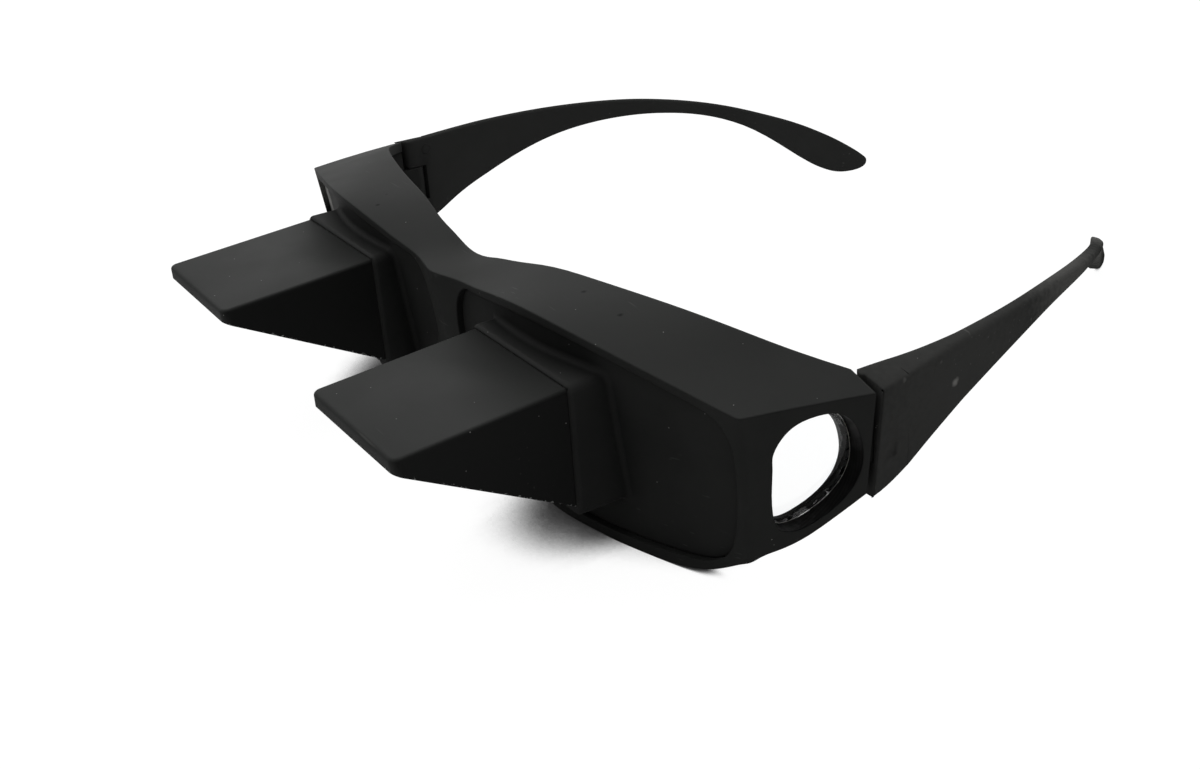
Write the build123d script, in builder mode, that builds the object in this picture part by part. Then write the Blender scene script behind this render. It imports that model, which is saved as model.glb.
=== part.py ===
"""Prism bed glasses: a matt black fit-over spectacle frame whose two front plates each hold a clear
wedge prism, so that a reader lying flat sees a book on the chest.

Axes while the pieces are drawn: X across the face, -Y towards the front, Z along the prism collars.
The origin is the middle of the sharp front corners of the brow. At the end every piece is turned by
the rest angle, so that the lower rims and the temple tips stand on one level surface.
"""
from build123d import *
import math
import os

os.makedirs("parts", exist_ok=True)

# driving size
HALF_FRONT = 75.0          # middle plane to the front corner of the brow

# front shell
SIDE_END_X = 1.072 * HALF_FRONT    # outer face of the side panel at its rear end
SIDE_END_Y = 0.283 * HALF_FRONT    # rear end of the side panels
FRONT_LEAN = 0.11          # lower rim sits back by this share of the drop
CORNER_LEAN = 0.059        # corners come inwards by this share of the drop
HULL_TOP = 0.187 * HALF_FRONT      # hull is drawn from this height
HULL_BOTTOM = -0.56 * HALF_FRONT   # down to this one
HULL_REACH = 0.6 * HALF_FRONT      # how far the hull is drawn rearwards
PLATE_RECESS = 1.1         # front plate lies this far behind the rim
PLATE_THICK = 1.6
LEDGE_THICK = 1.0          # lip behind the front plate
LEDGE_WIDTH = 1.3
SIDE_WALL = 4.8
CORNER_ROUND = 1.5         # rounding of the upright front corners
CORNER_REACH = 0.13 * HALF_FRONT   # front corners are looked for within this of the corner line
BROW_THICK = 2.2
OVERRUN = 6.0              # how far every cutting body reaches past the wall

# brow: share of HALF_FRONT for x, front y, front z, rear y, rear z
BROW_SHARES = (
    (0.000, -0.129, 0.028, -0.010, 0.041),
    (0.050, -0.121, 0.029, -0.008, 0.045),
    (0.100, -0.112, 0.032, -0.005, 0.056),
    (0.187, -0.116, 0.045, 0.001, 0.072),
    (0.280, -0.123, 0.063, 0.018, 0.087),
    (0.440, -0.127, 0.084, 0.045, 0.098),
    (0.587, -0.107, 0.075, 0.080, 0.096),
    (0.800, -0.055, 0.039, 0.155, 0.072),
    (0.907, -0.027, 0.019, 0.218, 0.042),
    (1.000, 0.000, 0.000, 0.285, 0.014),
    (1.130, 0.040, -0.026, 0.372, -0.030),
)
BROW_ENDS = len(BROW_SHARES) - 1   # the last row only carries the surface past the corner

# lower edge of the front and the sides: share of HALF_FRONT for x, y, z of a line inside the walls
LOWER_SHARES = (
    (0.480, -0.056, -0.4460),
    (0.580, -0.037, -0.4452),
    (0.670, -0.020, -0.4440),
    (0.750, 0.000, -0.4400),
    (0.830, 0.021, -0.4255),
    (0.887, 0.040, -0.3965),
    (0.924, 0.061, -0.3610),
    (0.949, 0.088, -0.3385),
    (0.968, 0.123, -0.3320),
    (0.985, 0.167, -0.3180),
    (0.999, 0.213, -0.2925),
    (1.013, 0.267, -0.2600),
    (1.028, 0.320, -0.2270),
)
# nose cut: share of HALF_FRONT for x, z
NOSE_SHARES = ((0.000, -0.190), (0.075, -0.224), (0.135, -0.299), (0.200, -0.380), (0.300, -0.4275),
               (0.440, -0.4435), (0.620, -0.4475))
NOSE_PLANE = -0.053 * HALF_FRONT   # the nose cut's outline holds at this place along Y
# opening in the front wall, a closed loop: share of HALF_FRONT for x, z
OPEN_SHARES = (
    (0.145, 0.023), (0.280, 0.042), (0.430, 0.061), (0.600, 0.054), (0.800, 0.019), (0.890, 0.002),
    (0.945, -0.020), (0.970, -0.060), (0.975, -0.120), (0.969, -0.200), (0.956, -0.275),
    (0.936, -0.335), (0.890, -0.380), (0.820, -0.402), (0.700, -0.415), (0.500, -0.418),
    (0.360, -0.408), (0.270, -0.380), (0.205, -0.332), (0.150, -0.268), (0.100, -0.203),
    (0.068, -0.155), (0.062, -0.110), (0.070, -0.062), (0.084, -0.022), (0.108, 0.006),
)
RIM_SHIFT = 0.15           # clearance round the front plate

# nose saddle
SADDLE_THICK = 1.7
SADDLE_FRONT = -0.08 * HALF_FRONT
SADDLE_REAR = 0.073 * HALF_FRONT
SADDLE_TURN = -0.2 * HALF_FRONT    # below this height the saddle grows shallower
SADDLE_FOOT = -0.413 * HALF_FRONT  # and has died out here

# side windows
WINDOW_DEPTH = 2.8         # outer face of the panel down to the pane
PANE_THICK = 1.2
PANE_GAP = 0.1
WINDOW_LIP = 0.7
# outline on the panel: share of HALF_FRONT for y, z
WINDOW_SHARES = ((0.074, -0.115), (0.076, -0.180), (0.081, -0.240), (0.097, -0.283), (0.128, -0.297),
                 (0.170, -0.288), (0.220, -0.258), (0.255, -0.215), (0.268, -0.165), (0.262, -0.115),
                 (0.240, -0.065), (0.205, -0.037), (0.160, -0.032), (0.115, -0.044), (0.085, -0.075))

# prisms and collars
PRISM_X = 0.458 * HALF_FRONT       # middle of each prism
PRISM_HALF = 14.6
PRISM_TOP = -1.3
PRISM_BASE = -22.0
PRISM_FRONT = -42.1
COLLAR_FRONT = -12.5
COLLAR_LIP = 0.85
COLLAR_ROUND = 0.9         # rounding of the collar's front edge
COLLAR_CORNER = 1.5        # rounding of its four long corners
COLLAR_BLEND = 1.0         # hollow blend between collar and plate
COLLAR_TOP_WALL = 0.65
COLLAR_BASE_WALL = 1.9
TOP_SLOPE = 0.06           # fall of the upper face towards the front
NOSE_HEIGHT = 2.35         # height of the blunt front end
PRISM_EDGE = 1.5           # rounding of the two upright front edges
PRISM_NOSE = 0.6
TENON_REAR = -8.6
TENON_GAP = 0.05
SIGHT_EDGE = 2.0           # lip between the tenon and the sight opening

# temples
TEMPLE_GAP = 0.55
HINGE_INSET = 3.9          # hinge line inside the side panel's rear corner
HINGE_SETBACK = 3.2        # and behind the panel's end
HINGE_X = SIDE_END_X - HINGE_INSET
HINGE_Y = SIDE_END_Y + HINGE_SETBACK
KNUCKLE_R = 2.0
PIN_R = 0.7
PIN_GAP = 0.04
KNUCKLE_TOP = -0.075 * HALF_FRONT
KNUCKLE_BASE = -0.179 * HALF_FRONT
KNUCKLE_GAP = 0.12
KNUCKLE_SWEEP_GAP = 0.35
EAR_ROOT = 1.0             # how far the hinge ear runs into the side panel
PIN_TOP = -0.021 * HALF_FRONT
PIN_BASE = -0.235 * HALF_FRONT

# stations of a temple, each a share of HALF_FRONT: rearward place, middle of the thickness across,
# top edge, lower edge, thickness, fall of the top facet outwards, lean of the outer face
TEMPLE_SHARES = (
    (0.260, 1.037, 0.012, -0.264, 0.083, 0.019, 0.021),
    (0.293, 1.035, 0.012, -0.261, 0.081, 0.019, 0.021),
    (0.373, 1.031, 0.012, -0.240, 0.065, 0.017, 0.017),
    (0.453, 1.028, 0.011, -0.200, 0.053, 0.016, 0.013),
    (0.560, 1.019, 0.011, -0.151, 0.047, 0.013, 0.009),
    (0.693, 0.999, 0.009, -0.102, 0.041, 0.009, 0.004),
    (0.827, 0.968, 0.006, -0.067, 0.041, 0.007, 0.001),
    (0.960, 0.926, -0.001, -0.052, 0.040, 0.005, 0.001),
    (1.093, 0.875, -0.013, -0.051, 0.039, 0.004, 0.000),
    (1.200, 0.816, -0.030, -0.060, 0.039, 0.003, 0.000),
    (1.293, 0.751, -0.051, -0.084, 0.039, 0.003, 0.000),
    (1.367, 0.691, -0.074, -0.120, 0.039, 0.003, 0.000),
    (1.429, 0.639, -0.099, -0.168, 0.039, 0.003, 0.000),
    (1.483, 0.596, -0.119, -0.221, 0.040, 0.003, 0.000),
    (1.533, 0.556, -0.149, -0.267, 0.040, 0.003, 0.000),
    (1.587, 0.520, -0.183, -0.291, 0.039, 0.003, 0.000),
    (1.632, 0.493, -0.217, -0.296, 0.035, 0.001, 0.000),
    (1.664, 0.475, -0.248, -0.285, 0.024, 0.001, 0.000),
)
TEMPLE_ROUND = 0.45

# rest
REST_TILT = 5.11           # degrees


def share(value):
    return value * HALF_FRONT


def leaned(x, y, z):
    """A point of the brow line carried up or down to height z along the leaning walls."""
    return (x * (1 + CORNER_LEAN * z / HALF_FRONT), y - FRONT_LEAN * z, z)


def mirrored(points):
    """Points for the whole width from points of the right half that start on the middle plane."""
    left = [(-p[0],) + tuple(p[1:]) for p in reversed(points) if p[0] > 0]
    return left + [tuple(p) for p in points]


front_line = [(share(r[0]), share(r[1])) for r in BROW_SHARES[:BROW_ENDS]]
side_slope = (SIDE_END_X - HALF_FRONT) / SIDE_END_Y


def hull_wires(rear_shift, wide):
    """Outlines of the hull at its two heights; the front line may be carried back and out."""
    sketches = []
    for height in (HULL_BOTTOM, HULL_TOP):
        line = [leaned(x, y + rear_shift, height)[:2] for x, y in mirrored(front_line)]
        end = line[-1]
        with BuildSketch(Plane.XY.offset(height)) as outline:
            with BuildLine():
                curve = Spline(*line)
                if wide:
                    out = (end[0] + wide, end[1] + wide * side_slope)
                    back = (out[0], HULL_REACH)
                    Polyline(curve @ 1, out, back, (-back[0], back[1]), (-out[0], out[1]), curve @ 0)
                else:
                    back = (end[0] + side_slope * (HULL_REACH - end[1]), HULL_REACH)
                    Polyline(curve @ 1, back, (-back[0], back[1]), curve @ 0)
            make_face()
        sketches.append(outline.sketch)
    return sketches


def ruled_block(front, rear, lift, height):
    """Block between a ruled surface (front line to rear line, carried past both) and a level."""
    raised = Vector(0, 0, lift)
    a = [Vector(*f) * 2 - Vector(*r) + raised for f, r in zip(front, rear)]
    b = [Vector(*r) * 3 - Vector(*f) * 2 + raised for f, r in zip(front, rear)]
    places = [f[0] for f in front]
    steps = [(place - places[0]) / (places[-1] - places[0]) for place in places]
    face = Face.make_surface_from_curves(Edge.make_spline(a, parameters=steps),
                                         Edge.make_spline(b, parameters=steps))
    return extrude(face, amount=abs(height), dir=(0, 0, math.copysign(1, height)))


FRONT_WALL = PLATE_RECESS + PLATE_THICK + LEDGE_THICK
hull = loft(hull_wires(0, 0), ruled=True)
corners = [edge for edge in hull.edges() if abs(edge.center().X) > share(0.9)
           and abs(edge.center().Y) < CORNER_REACH and abs(edge.tangent_at(0.5).Z) > 0.9]
hull = fillet(corners, CORNER_ROUND)


def behind(depth):
    """Everything that lies more than the depth behind the front face of the hull."""
    return loft(hull_wires(depth, OVERRUN * 3), ruled=True)


def between_sides(inset):
    """Space between the side panels' faces, carried inwards by the inset."""
    steps = []
    for height in (HULL_BOTTOM, HULL_TOP):
        corner = leaned(HALF_FRONT, 0, height)
        off = inset * math.hypot(1, side_slope)
        front = (corner[0] - off - side_slope * HULL_REACH, corner[1] - HULL_REACH)
        rear = (corner[0] - off + side_slope * HULL_REACH, corner[1] + HULL_REACH)
        with BuildSketch(Plane.XY.offset(height)) as step:
            with BuildLine():
                Polyline(front, rear, (-rear[0], rear[1]), (-front[0], front[1]), close=True)
            make_face()
        steps.append(step.sketch)
    return loft(steps, ruled=True)


LOOP_STEPS = 72


def carried(points, inset, closed):
    """Points of the smooth line through the given ones, carried to its left by the inset."""
    if not inset:
        return points
    line = Edge.make_spline([Vector(*p) for p in points], periodic=closed)
    steps = [k / LOOP_STEPS for k in range(LOOP_STEPS if closed else LOOP_STEPS + 1)]
    moved = []
    for step in steps:
        place = line.position_at(step)
        ahead = line.tangent_at(step)
        moved.append((place.X - inset * ahead.Y, place.Y + inset * ahead.X))
    return moved


def elevation(shares, reach, inset=0.0):
    """Closed outline seen from the front, drawn through the shares, run along Y."""
    points = carried([(share(x), share(z)) for x, z in shares], -inset, True)
    with BuildSketch(Plane.XZ) as outline:
        with BuildLine():
            Spline(*points, periodic=True)
        make_face()
    return extrude(outline.sketch, amount=reach, both=True)


brow_front = mirrored([(share(r[0]), share(r[1]), share(r[2])) for r in BROW_SHARES])
brow_rear = mirrored([(share(r[0]), share(r[3]), share(r[4])) for r in BROW_SHARES])
above = ruled_block(brow_front, brow_rear, 0, HULL_TOP * 3)
under = ruled_block(brow_front, brow_rear, -BROW_THICK, HULL_BOTTOM * 2)

# space behind the brow's rear edge, open to the wearer's forehead
rear_line = [(share(r[0]), share(r[3])) for r in BROW_SHARES[:BROW_ENDS]]
with BuildSketch(Plane.XY.offset(HULL_BOTTOM)) as forehead:
    with BuildLine():
        edge = Spline(*mirrored(rear_line))
        stop = edge @ 1
        Polyline(edge @ 1, (stop.X + OVERRUN, stop.Y + OVERRUN), (stop.X + OVERRUN, HULL_REACH),
                 (-stop.X - OVERRUN, HULL_REACH), (-stop.X - OVERRUN, stop.Y + OVERRUN), edge @ 0)
    make_face()
forehead_space = extrude(forehead.sketch, amount=HULL_TOP - HULL_BOTTOM)

# lower edge, ruled from outside the walls to inside them, square to the leaning front
low_line = [Vector(share(x), share(y), share(z)) for x, y, z in LOWER_SHARES]
low_out = []
low_in = []
for k, place in enumerate(low_line):
    ahead = low_line[min(k + 1, len(low_line) - 1)] - low_line[max(k - 1, 0)]
    away = Vector(ahead.Y, -ahead.X, 0).normalized()
    across = (away + Vector(0, 0, FRONT_LEAN * away.Y)) * OVERRUN
    low_out.append(place + across)
    low_in.append(place - across)
low_face = Face.make_surface_from_curves(Edge.make_spline(low_out), Edge.make_spline(low_in))
low_right = extrude(low_face, amount=-HULL_BOTTOM, dir=(0, 0, -1))
low_left = low_right.mirror(Plane.YZ)

# nose cut with the lower edge of the inner half
nose_points = [(share(x), share(z)) for x, z in mirrored(NOSE_SHARES)]


def below_arch(points):
    """Everything below a line seen from the front, run square to the leaning front."""
    low = HULL_BOTTOM - OVERRUN
    with BuildSketch(Plane.XZ.offset(-NOSE_PLANE)) as arch:
        with BuildLine():
            edge = Spline(*points)
            Polyline(edge @ 1, ((edge @ 1).X, low), ((edge @ 0).X, low), edge @ 0)
        make_face()
    return (extrude(arch.sketch, amount=HULL_REACH, dir=(0, 1, FRONT_LEAN))
            + extrude(arch.sketch, amount=HULL_REACH, dir=(0, -1, -FRONT_LEAN)))


nose_cut = below_arch(nose_points)
with BuildSketch(Plane.YZ) as saddle_side:
    with BuildLine():
        Polyline((SADDLE_FRONT, HULL_TOP), (SADDLE_REAR, HULL_TOP), (SADDLE_REAR, SADDLE_TURN),
                 (SADDLE_FRONT, SADDLE_FOOT), close=True)
    make_face()
saddle_reach = extrude(saddle_side.sketch, amount=HALF_FRONT, both=True)
saddle = (below_arch(carried(nose_points, SADDLE_THICK, False)) & saddle_reach) - nose_cut

opening = elevation(OPEN_SHARES, HULL_REACH)
ledge_opening = elevation(OPEN_SHARES, HULL_REACH, LEDGE_WIDTH)
plate_outline = elevation(OPEN_SHARES, HULL_REACH, RIM_SHIFT)

panel = Plane(origin=(HALF_FRONT, 0, 0), x_dir=(side_slope, 1, 0),
              z_dir=(1, -side_slope, -(CORNER_LEAN + side_slope * FRONT_LEAN)))


def window(inset, start, depth):
    """The side window's outline, set in by the inset and run inwards across the panel."""
    points = []
    for y, z in WINDOW_SHARES:
        place = Vector(0, share(y), share(z))
        x = HALF_FRONT + side_slope * place.Y + (CORNER_LEAN + side_slope * FRONT_LEAN) * place.Z
        local = panel.to_local_coords(Vector(x, place.Y, place.Z))
        points.append((local.X, local.Y))
    points = carried(points, inset, True)
    with BuildSketch(panel) as pane_sketch:
        with BuildLine():
            Spline(*points, periodic=True)
        make_face()
    return Pos(-start, 0, 0) * extrude(pane_sketch.sketch, amount=depth, dir=(-1, 0, 0))


window_pocket = window(0, -OVERRUN, OVERRUN + WINDOW_DEPTH + PANE_THICK)
window_through = window(WINDOW_LIP, 0, SIDE_WALL + OVERRUN)


def ears(points, z_low, z_high):
    """Upright block over a closed plan outline."""
    with BuildSketch(Plane.XY.offset(z_low)) as plan:
        with BuildLine():
            Polyline(*points, close=True)
        make_face()
    return extrude(plan.sketch, amount=z_high - z_low)


def upright(radius, z_low, z_high):
    """Round bar on the right hinge line."""
    return Pos(HINGE_X, HINGE_Y, z_low) * Cylinder(radius, z_high - z_low,
                                                 align=(Align.CENTER, Align.CENTER, Align.MIN))


# frame: one moulding with brow, side panels, rims, nose saddle and hinge ears
seat_depth = PLATE_RECESS + PLATE_THICK
wearer_side = between_sides(SIDE_WALL)
rear_space = Pos(0, SIDE_END_Y + HALF_FRONT / 2, 0) * Box(4 * HALF_FRONT, HALF_FRONT, 4 * HALF_FRONT)
shell = hull - (behind(FRONT_WALL) & wearer_side & under) - rear_space - above
shell = shell - (forehead_space & wearer_side) + (saddle & hull)
shell = shell - nose_cut - low_right - low_left
for cut in (opening - behind(seat_depth), ledge_opening, window_pocket, window_through):
    shell = shell - cut - cut.mirror(Plane.YZ)

ear = ears([(HINGE_X - KNUCKLE_R, SIDE_END_Y - EAR_ROOT), (HINGE_X + KNUCKLE_R, SIDE_END_Y - EAR_ROOT),
            (HINGE_X + KNUCKLE_R, HINGE_Y), (HINGE_X - KNUCKLE_R, HINGE_Y)],
           KNUCKLE_BASE, KNUCKLE_TOP)
ear = ear + upright(KNUCKLE_R, KNUCKLE_BASE, KNUCKLE_TOP)
ear = ear - upright(PIN_R + PIN_GAP, KNUCKLE_BASE, KNUCKLE_TOP)

with BuildPart() as frame:
    add(shell)
    add(ear)
    add(ear.mirror(Plane.YZ))

# front plates, each moulded with its collar
def prism_top(y):
    return PRISM_TOP + TOP_SLOPE * (y - COLLAR_FRONT)


def across_prism(points, half):
    """Closed side outline, run across the prism's width."""
    with BuildSketch(Plane.YZ.offset(PRISM_X)) as side:
        with BuildLine():
            Polyline(*points, close=True)
        make_face()
    return extrude(side.sketch, amount=half, both=True)


def rounded_bar(half, low, high, radius, front, rear):
    """Rounded rectangle seen from the front, run from one place along Y to another."""
    with BuildSketch(Plane.XZ.offset(-front)) as face:
        with Locations((PRISM_X, (low + high) / 2)):
            RectangleRounded(2 * half, high - low, radius)
    return extrude(face.sketch, amount=front - rear)


collar_top = PRISM_TOP + COLLAR_TOP_WALL
collar_base = PRISM_BASE - COLLAR_BASE_WALL
collar_bar = rounded_bar(PRISM_HALF + COLLAR_LIP, collar_base, collar_top, COLLAR_CORNER,
                         COLLAR_FRONT, 0)
collar_bar = fillet(collar_bar.faces().sort_by(Axis.Y)[0].outer_wire().edges(), COLLAR_ROUND)
socket_front = COLLAR_FRONT - OVERRUN
socket = across_prism([(TENON_REAR, PRISM_BASE - TENON_GAP),
                       (TENON_REAR, prism_top(TENON_REAR) + TENON_GAP),
                       (socket_front, prism_top(socket_front) + TENON_GAP),
                       (socket_front, PRISM_BASE - TENON_GAP)], PRISM_HALF + TENON_GAP)
sight = rounded_bar(PRISM_HALF - SIGHT_EDGE, PRISM_BASE + SIGHT_EDGE, PRISM_TOP - SIGHT_EDGE,
                    SIGHT_EDGE, COLLAR_FRONT, OVERRUN)
blank = (plate_outline & behind(PLATE_RECESS)) - behind(seat_depth)
blank = blank + (collar_bar - behind(PLATE_RECESS + PLATE_THICK / 2))
root = blank.faces().filter_by(lambda face: len(face.inner_wires()) == 1)[0].inner_wires()[0]
blank = blank.fillet(COLLAR_BLEND, root.edges()) - socket - sight

with BuildPart() as front_plate_left:
    add(blank)
with BuildPart() as front_plate_right:
    add(blank.mirror(Plane.YZ))

# clear wedge prisms
wedge = across_prism([(TENON_REAR, PRISM_BASE), (TENON_REAR, prism_top(TENON_REAR)),
                      (PRISM_FRONT, prism_top(PRISM_FRONT)),
                      (PRISM_FRONT, prism_top(PRISM_FRONT) - NOSE_HEIGHT),
                      (COLLAR_FRONT, PRISM_BASE)], PRISM_HALF)
with BuildPart() as prism_left:
    add(wedge)
    nose_face = prism_left.faces().sort_by(Axis.Y)[0]
    fillet(nose_face.edges().filter_by(Axis.Z), PRISM_EDGE)
    nose_face = prism_left.faces().sort_by(Axis.Y)[0]
    fillet(nose_face.edges().sort_by(Axis.Z)[-1], PRISM_NOSE)
with BuildPart() as prism_right:
    add(prism_left.part.mirror(Plane.YZ))

# clear panes of the side windows
pane = window(PANE_GAP, WINDOW_DEPTH, PANE_THICK)
with BuildPart() as side_pane_left:
    add(pane)
with BuildPart() as side_pane_right:
    add(side_pane_left.part.mirror(Plane.YZ))

# temples
sections = []
for k, row in enumerate(TEMPLE_SHARES):
    y, x, top, base, thick, fall, lean = (share(v) for v in row)
    before = TEMPLE_SHARES[max(k - 1, 0)]
    after = TEMPLE_SHARES[min(k + 1, len(TEMPLE_SHARES) - 1)]
    heading = Vector(after[1] - before[1], after[0] - before[0], 0).normalized() if k else Vector(0, 1, 0)
    across = Vector(heading.Y, -heading.X, 0)
    with BuildSketch(Plane(origin=(x, y, 0), x_dir=across, z_dir=-heading)) as section:
        with BuildLine():
            Polyline((-thick / 2, base), (thick / 2 - lean, base), (thick / 2, top - fall),
                     (-thick / 2, top), close=True)
        make_face()
        fillet(section.vertices(), TEMPLE_ROUND)
    sections.append(section.sketch)
arm = loft(sections)
temple_front = SIDE_END_Y + TEMPLE_GAP
inner = HINGE_X - KNUCKLE_R - OVERRUN
outer = SIDE_END_X + OVERRUN
ahead_y = SIDE_END_Y - OVERRUN
head = ears([(inner, ahead_y), (outer, ahead_y), (outer, temple_front), (HINGE_X, temple_front),
             (HINGE_X, HINGE_Y), (inner, HINGE_Y)], HULL_BOTTOM, HULL_TOP)
arm = arm - (head - upright(HINGE_Y - temple_front, HULL_BOTTOM, HULL_TOP))
slot_x = HINGE_X + KNUCKLE_R + KNUCKLE_SWEEP_GAP
slot_y = HINGE_Y + KNUCKLE_R + KNUCKLE_SWEEP_GAP
arm = arm - ears([(slot_x, ahead_y), (slot_x, slot_y), (inner, slot_y), (inner, ahead_y)],
                 KNUCKLE_BASE - KNUCKLE_GAP, KNUCKLE_TOP + KNUCKLE_GAP)
arm = arm - upright(PIN_R, PIN_BASE - OVERRUN, PIN_TOP)
with BuildPart() as temple_left:
    add(arm)
with BuildPart() as temple_right:
    add(arm.mirror(Plane.YZ))

# hinge pins
pin = upright(PIN_R, PIN_BASE, PIN_TOP)
with BuildPart() as hinge_pin_left:
    add(pin)
with BuildPart() as hinge_pin_right:
    add(hinge_pin_left.part.mirror(Plane.YZ))

# rest: lower rims and temple tips on one level, middle of the whole over the origin
pieces = {
    "frame": frame, "front_plate_left": front_plate_left, "front_plate_right": front_plate_right,
    "prism_left": prism_left, "prism_right": prism_right, "side_pane_left": side_pane_left,
    "side_pane_right": side_pane_right, "temple_left": temple_left, "temple_right": temple_right,
    "hinge_pin_left": hinge_pin_left, "hinge_pin_right": hinge_pin_right,
}
tilt = Rot(-REST_TILT, 0, 0)
boxes = [(tilt * pieces[name].part).bounding_box() for name in ("frame", "prism_left", "temple_left")]
low_z = min(box.min.Z for box in boxes)
mid_y = (min(box.min.Y for box in boxes) + max(box.max.Y for box in boxes)) / 2
rest = Pos(0, -mid_y, -low_z) * tilt
for name, piece in pieces.items():
    piece.part = rest * piece.part
    piece.part.label = name
    export_step(piece.part, "parts/" + name + ".step")
    print(name, round(piece.part.volume), piece.part.is_valid, len(piece.part.solids()))
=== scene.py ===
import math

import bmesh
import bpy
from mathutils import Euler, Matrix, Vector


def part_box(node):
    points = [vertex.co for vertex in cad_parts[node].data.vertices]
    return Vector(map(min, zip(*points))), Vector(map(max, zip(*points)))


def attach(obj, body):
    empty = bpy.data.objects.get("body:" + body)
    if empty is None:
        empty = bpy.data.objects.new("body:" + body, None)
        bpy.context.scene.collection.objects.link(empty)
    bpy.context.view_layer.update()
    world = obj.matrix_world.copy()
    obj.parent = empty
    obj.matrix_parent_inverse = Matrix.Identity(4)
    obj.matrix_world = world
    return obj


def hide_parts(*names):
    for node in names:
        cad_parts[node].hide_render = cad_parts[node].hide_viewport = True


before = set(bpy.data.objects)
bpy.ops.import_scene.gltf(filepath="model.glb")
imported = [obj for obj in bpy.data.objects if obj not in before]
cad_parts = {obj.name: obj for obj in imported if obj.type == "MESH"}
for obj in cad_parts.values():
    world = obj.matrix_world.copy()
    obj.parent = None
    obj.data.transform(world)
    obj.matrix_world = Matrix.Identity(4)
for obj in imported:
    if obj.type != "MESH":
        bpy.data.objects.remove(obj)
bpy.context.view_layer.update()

# %% [markdown]
# # Prism bed glasses
# Deep matt black fit-over glasses carry two wedge prisms that point forwards. The frame, the plates with
# their collars, the temples and the pins come from the CAD model and keep their shapes here. This lesson
# gives them their finishes, makes the prisms as clear bodies with a coat of paint, adds the glue that a
# moulded and glued product shows, and sets up the studio.

# %% [markdown]
# ## Small helpers for shader nodes
# Every finish below is a handful of nodes. One helper adds a node and wires or sets its sockets by name,
# so that each material reads like a list. A second one opens a node group with named sockets.

# %% Node helpers
FLOAT = "NodeSocketFloat"
VECTOR = "NodeSocketVector"


def put(tree, kind, sockets=None, **settings):
    """Adds a node. A socket's value is either another node's output or a plain value."""
    node = tree.nodes.new(kind)
    for key, value in settings.items():
        setattr(node, key, value)
    for key, value in (sockets or {}).items():
        if isinstance(value, bpy.types.NodeSocket):
            tree.links.new(value, node.inputs[key])
        else:
            node.inputs[key].default_value = value
    return node


def maths(tree, operation, a, b=0.0):
    """The output of one Math node."""
    return put(tree, "ShaderNodeMath", {0: a, 1: b}, operation=operation).outputs[0]


def colour_mix(tree, factor, a, b):
    """The output of a colour Mix node. Its colour sockets stand at places 6 and 7."""
    return put(tree, "ShaderNodeMix", {0: factor, 6: a, 7: b}, data_type="RGBA").outputs[2]


def open_group(name, inputs, outputs):
    """A shader node group: inputs is {name: (kind, value)}, outputs is {name: kind}."""
    tree = bpy.data.node_groups.new(name, "ShaderNodeTree")
    for key, (kind, value) in inputs.items():
        tree.interface.new_socket(key, in_out="INPUT", socket_type=kind).default_value = value
    for key, kind in outputs.items():
        tree.interface.new_socket(key, in_out="OUTPUT", socket_type=kind)
    return tree, tree.nodes.new("NodeGroupInput").outputs, tree.nodes.new("NodeGroupOutput").inputs


def open_material(name):
    """An empty material with its output node."""
    material = bpy.data.materials.new(name)
    material.use_nodes = True
    material.node_tree.nodes.clear()
    return material, material.node_tree, material.node_tree.nodes.new("ShaderNodeOutputMaterial")


print("node helpers ready")

# %% [markdown]
# A CAD node's mesh is loose triangles. Work on its faces needs a merged copy, so one helper makes that.

# %% Mesh helper
MERGE = 0.000002    # points nearer than this are one


def merged(mesh):
    """A work copy of a CAD mesh in which neighbouring triangles share their points."""
    work = bmesh.new()
    work.from_mesh(mesh)
    bmesh.ops.remove_doubles(work, verts=work.verts, dist=MERGE)
    return work


print("points are merged within", 1e6 * MERGE, "micrometres")

# %% [markdown]
# ## The moulded grain
# The plastic is sprayed with a soft matt lacquer. Close up it has a very fine grain, and its moulded edges
# are rounded by a few tenths of a millimetre. Modelling that rounding on every edge would be heavy, so a
# Bevel node bends the normal near the edges, and fine noise on top of it breaks up the reflections. An
# Ambient Occlusion node finds pockets and grooves, and the finishes paint shade into them by darkening the
# colour there.

# %% Grain group
def make_grain():
    """The group that gives the grained, rounded normal, a broad mottle and a painted-shade mask for the
    hollows.
    """
    tree, inside, outside = open_group(
        "moulded grain",
        {"Grain Scale": (FLOAT, 3500.0), "Grain Depth": (FLOAT, 0.00002), "Edge Radius": (FLOAT, 0.0004)},
        {"Normal": VECTOR, "Mottle": FLOAT, "Crevice Shade": FLOAT},
    )
    place = put(tree, "ShaderNodeTexCoord").outputs["Object"]
    fine = put(tree, "ShaderNodeTexNoise", {"Vector": place, "Scale": inside["Grain Scale"], "Detail": 2.0})
    edge = put(tree, "ShaderNodeBevel", {"Radius": inside["Edge Radius"]}, samples=6)
    bump = put(tree, "ShaderNodeBump", {"Height": fine.outputs["Fac"], "Strength": 0.35,
                                        "Distance": inside["Grain Depth"], "Normal": edge.outputs["Normal"]})
    broad = put(tree, "ShaderNodeTexNoise", {"Vector": place, "Scale": 70.0, "Detail": 4.0})
    open_sky = put(tree, "ShaderNodeAmbientOcclusion", {"Distance": 0.006}, samples=6, only_local=True)
    # painted shade: a mask that is 1 in hollows, where the base colour is darkened
    crevice_shade = put(tree, "ShaderNodeMapRange", {"Value": open_sky.outputs["AO"], "From Min": 0.35,
                                              "From Max": 0.90, "To Min": 1.0, "To Max": 0.0})
    tree.links.new(crevice_shade.outputs[0], outside["Crevice Shade"])
    tree.links.new(bump.outputs["Normal"], outside["Normal"])
    tree.links.new(broad.outputs["Fac"], outside["Mottle"])
    return tree


grain_group = make_grain()
print("made", grain_group.name)

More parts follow.
